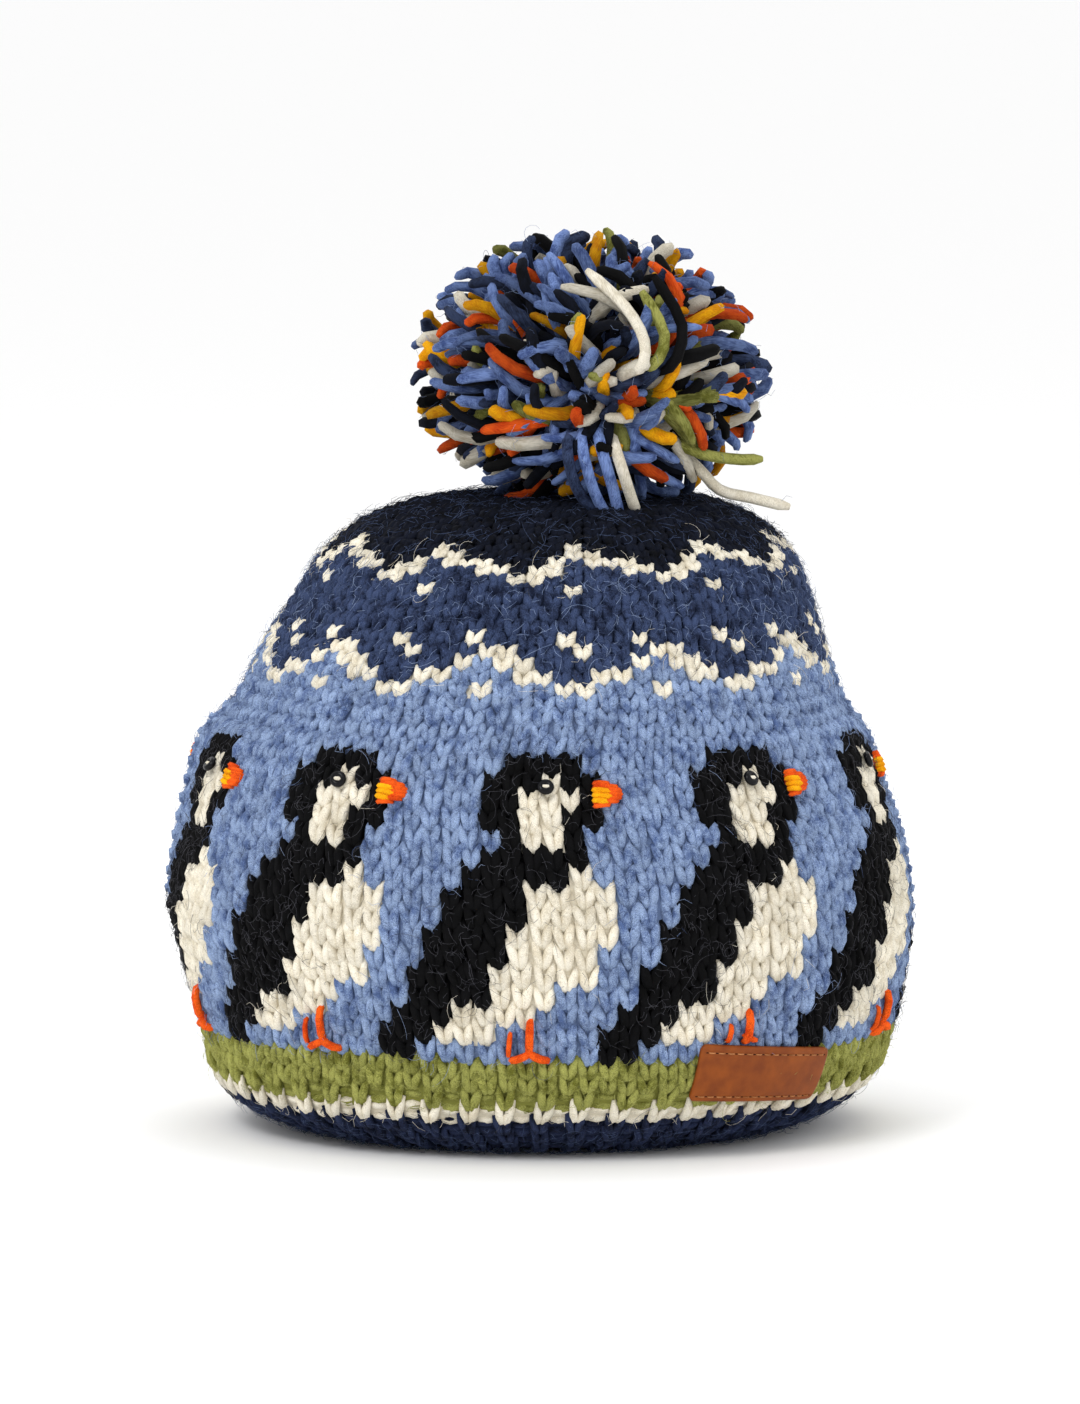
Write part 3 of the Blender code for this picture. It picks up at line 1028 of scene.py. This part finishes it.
# long ends that were missed, and the points they pass, in the pompom's half sizes
STRAYS = (
    ("w", ((0.60, -0.45, -0.62), (0.74, -0.42, -0.80), (0.92, -0.38, -0.86), (1.14, -0.34, -0.93))),
    ("g", ((0.55, -0.62, -0.48), (0.80, -0.50, -0.57), (0.98, -0.42, -0.58))),
    ("s", ((-0.05, -0.90, -0.40), (0.02, -0.82, -0.76), (0.11, -0.74, -0.98))),
    ("s", ((0.05, -0.90, -0.40), (0.13, -0.80, -0.76), (0.18, -0.72, -1.04))),
    ("n", ((-0.13, -0.90, -0.42), (-0.08, -0.82, -0.74), (0.03, -0.74, -0.94))),
    ("w", ((0.14, -0.88, -0.46), (0.22, -0.78, -0.78), (0.26, -0.70, -0.93))),
    ("w", ((0.27, -0.97, 0.10), (0.30, -0.95, 0.30), (0.19, -0.86, 0.54), (-0.02, -0.70, 0.78))),
    ("g", ((0.34, -0.93, 0.12), (0.42, -0.86, 0.34), (0.29, -0.78, 0.64))),
    ("k", ((0.44, -0.88, 0.10), (0.52, -0.78, 0.40), (0.36, -0.70, 0.74))),
)


def evenly_round(number, count):
    """A direction, one of many spread evenly over a ball."""
    height = 1 - (2 * number + 1) / count
    turn = number * pi * (3 - sqrt(5))
    flat = sqrt(1 - height * height)
    return Vector((flat * cos(turn), flat * sin(turn), height))


def pompom_end(tip, reach, taper):
    """One cut end: out of the middle, then over towards its tip."""
    tip = (tip + noise.random_unit_vector() * 0.10).normalized()
    parting = max((way.normalized() for way in PARTINGS), key=tip.dot)
    apart = tip.angle(parting)
    axis = parting.cross(tip)
    if axis.length < 0.05:
        axis = tip.orthogonal()
    axis = Matrix.Rotation(chance.gauss(0, STRAYING), 3, tip) @ axis
    flat = min(1, apart / HALF_BALL)
    lean = min(LEAN * uniform(0.6, 1.25) * (1 - 0.85 * flat**3), apart * 0.85)
    sway = (noise.noise_vector(tip * 1.6) + noise.random_unit_vector() * 0.7) * 0.42
    points, radii = [], []
    for share, girth in END_SHAPE:
        way = Matrix.Rotation(-lean * (1 - share**1.2), 3, axis.normalized()) @ tip
        way = (way + sway * share * (1 - share) * 2).normalized()
        outward = 0.30 + 0.70 * (1 - (1 - share) ** 1.7)
        points.append(POMPOM_MIDDLE + way * POMPOM_HALF * outward * reach)
        radii.append(END_RADIUS * (girth if share < 0.6 else girth * taper ** (2 * share - 1)))
    return points, radii


def stray_end(passed):
    """A long end that lies outside the others."""
    deep = [0.4 * share for share in passed[0]]
    points = [
        POMPOM_MIDDLE + Vector([a * b for a, b in zip(spot, POMPOM_HALF)])
        for spot in (deep, *passed)
    ]
    spline = []
    for near in zip(points[:1] + points, points, points[1:], points[2:] + points[-1:]):
        for share in (0.0, 0.33, 0.67):
            spline.append(Vector([smooth_between(*side, share) for side in zip(*near)]))
    spline.append(points[-1])
    radii = [STRAY_GIRTH * END_RADIUS] * (len(spline) - 1) + [STRAY_TIP * END_RADIUS]
    return Strand(spline, radii, STRAY_SHADE)


noise.seed_set(5)
numbers = list(range(POMPOM_ENDS))
chance.shuffle(numbers)
pompom_ends, all_ends, taken = [], [], 0
for sign, share, taper in POMPOM_MIX:
    wool, ends = POMPOM_WOOLS[sign], []
    for number in numbers[taken : taken + round(share * POMPOM_ENDS)]:
        girth = uniform(0.85, 1.12)
        direction = evenly_round(number, POMPOM_ENDS)
        reach, narrowing = uniform(0.80, 1.04), taper * uniform(0.8, 1.1)
        points, radii = pompom_end(direction, reach, narrowing)
        radii = [radius * girth for radius in radii]
        # each end's colour is scaled at random to between 0.38 and 0.76 of its wool's: a random
        # tone, and painted shade for the pompom's depth
        ends.append(Strand(points, radii, uniform(0.38, 0.76)))
    taken += len(ends)
    ends += [stray_end(passed) for stray, passed in STRAYS if stray == sign]
    all_ends += ends
    finish = wool_finish(wool, 0.3, depth=0.3, speckled=0.12)
    pompom_ends.append(spun("pompom_" + wool.name, ends, finish))

ball = bmesh.new()
bmesh.ops.create_icosphere(ball, subdivisions=4, radius=1)
for vert in ball.verts:
    swell = HEART_HALF + HEART_SWELL * noise.noise(vert.co * 5)
    vert.co = Vector([vert.co[side] * POMPOM_HALF[side] * swell for side in range(3)])
    vert.co += POMPOM_MIDDLE
for face in ball.faces:
    face.smooth = True
shade = plain_finish("shade inside the pompom", linear(30, 36, 60), 1.0)
heart = solid("pompom_heart", ball, shade)
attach(heart, "root")
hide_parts("pompom")

# --------------------------------------
# Loose fibres. The wool is brushed and felted, and stray hairs lie curled over
# the knit. Most of them are paler than the dark wools under them, a painted sheen
# for the light that fine fibres catch; some are darker, at random.

FIBRES, POMPOM_FIBRES = 19000, 1200
FIBRE_RADIUS, FIBRE_SINK = 0.00006, 0.0003
Curl = namedtuple("Curl", "lengths turn arches")
LONG, LONG_SHARE, LONG_STEPS = Curl((0.005, 0.011), 4, (0.0004, 0.0014)), 0.09, 6
SHORT = Curl((0.0016, 0.0046), 3, (0.0003, 0.0010))
STANDING, STANDING_SHARE = (0.0006, 0.0020), 0.3  # of the short ones, off the knit


def hair(here, across, up, out, short_steps=2):
    """One stray hair: a long one arched over the knit, or a short one that may stand off."""
    turn = uniform(0, tau)
    long = chance.random() < LONG_SHARE
    kind, steps = (LONG, LONG_STEPS) if long else (SHORT, short_steps)
    length, curl = uniform(*kind.lengths), uniform(-kind.turn, kind.turn)
    arch = uniform(*kind.arches)
    stands = not long and chance.random() < STANDING_SHARE
    stand = uniform(*STANDING) if stands else 0
    points, radii = [], []
    point = here - out * FIBRE_SINK
    for step in range(steps + 1):
        share = step / steps
        rise = arch * sin(pi * min(1, 0.15 + 0.75 * share)) + stand * share
        points.append(above_floor(point + out * rise, FIBRE_RADIUS))
        radii.append(FIBRE_RADIUS * (1 - 0.4 * share))
        heading = turn + curl * (share - 0.5) * (1 + 0.5 * share)
        point = point + (across * cos(heading) + up * sin(heading)) * (length / steps)
    return Strand(points, radii, 1.0)


# the paler fibre colours are painted sheen, standing in for the light that fine fibres catch; the
# fibres get no sheen of their own
GREY = dyed("grey", (84, 84, 90), (50, 50, 56))
NIGHT = dyed("night_blue", (84, 98, 130), (48, 58, 86))
PALE_SKY = dyed("pale_sky", (156, 174, 208), (104, 124, 168))
PALE_CREAM = dyed("pale_cream", (244, 238, 224), (214, 204, 184))
LIME = dyed("lime", (184, 186, 112), (136, 138, 70))
HAIR_OVER = {  # the colours of the fibres seen over each wool
    "k": (GREY, GREY, WOOLS["k"]),
    "d": (NIGHT, WOOLS["d"]),
    "h": (NIGHT,),
    "n": (NIGHT, NIGHT, PALE_SKY),
    "s": (PALE_SKY, PALE_SKY, NIGHT),
    "w": (PALE_CREAM, PALE_CREAM, GREY),
    "g": (LIME,),
}
SHOWS = {"k": 1, "d": 0.4, "h": 0.4, "n": 0.6, "s": 0.55, "w": 0.3, "g": 0.3}  # how many show
hairs_of = {}
while sum(map(len, hairs_of.values())) < FIBRES:
    course = chance.choice(COURSES)
    turned = chance.random()
    sign = wool_of(course, int(turned * course.stitches))
    if chance.random() * ROUND > course.stitches * SHOWS[sign] or course.place < 1:
        continue
    place = course.place + uniform(-0.2, 0.2)
    fibre = hair(*knit_frame(place, turned), short_steps=3 if sign == "k" else 2)
    hairs_of.setdefault(chance.choice(HAIR_OVER[sign]), []).append(fibre)
for _ in range(POMPOM_FIBRES):
    end = chance.choice(all_ends)
    part = chance.randrange(3, len(end.points) - 1)
    along = (end.points[part + 1] - end.points[part]).normalized()
    out = along.cross(noise.random_unit_vector()).normalized()
    here = end.points[part] + out * end.radii[part]
    hairs_of[chance.choice((NIGHT, PALE_SKY))].append(hair(here, along, along.cross(out), out))
hairs = [
    spun(colour.name + "_hairs", strands, wool_finish(colour, 0), sides=3)
    for colour, strands in hairs_of.items()
]

# --------------------------------------
# The floor, the light and the camera.

PIXEL = 0.000262  # metres a pixel at the cosy's middle
CAMERA_LIFT = radians(6)
CAMERA_OFF = 2.4
FRAME_HIGH = 1404
AIM = Vector((0, 0, 0.1106))

sheet = bmesh.new()
bmesh.ops.create_grid(sheet, x_segments=1, y_segments=1, size=12)
floor = solid("floor", sheet, plain_finish("white floor", (0.97, 0.97, 0.97), 0.9))
floor.location.z = -0.0002

world = bpy.data.worlds.new("white studio")
world.use_nodes = True
sky = {"Color": (1, 1, 1, 1), "Strength": 1.0}
give(world.node_tree, world.node_tree.nodes["Background"], sky)
bpy.context.scene.world = world
bpy.context.scene.view_settings.view_transform = "Standard"


def aimed(name, data, place):
    """A lamp or a camera, turned to the cosy."""
    holder = added(name, data)
    holder.location = place
    holder.rotation_euler = (AIM - Vector(place)).to_track_quat("-Z", "Y").to_euler()
    return holder


for name, place, size, power in (
    ("key light", (-0.7, -1.1, 1.3), 0.6, 8),
    ("small light", (-0.5, -1.4, 1.1), 0.12, 2),
    ("fill light", (1.1, -0.9, 0.6), 1.2, 2),
    ("top light", (0.1, 0.5, 1.5), 1.0, 5),
):
    lamp = bpy.data.lights.new(name, "AREA")
    lamp.shape = "DISK"
    lamp.size = size
    lamp.energy = power
    aimed(name, lamp, place)

camera = bpy.data.cameras.new("camera")
camera.lens = camera.sensor_width * CAMERA_OFF / (FRAME_HIGH * PIXEL)
back = Vector((0, -cos(CAMERA_LIFT), sin(CAMERA_LIFT)))
bpy.context.scene.camera = aimed("camera", camera, AIM + back * CAMERA_OFF)
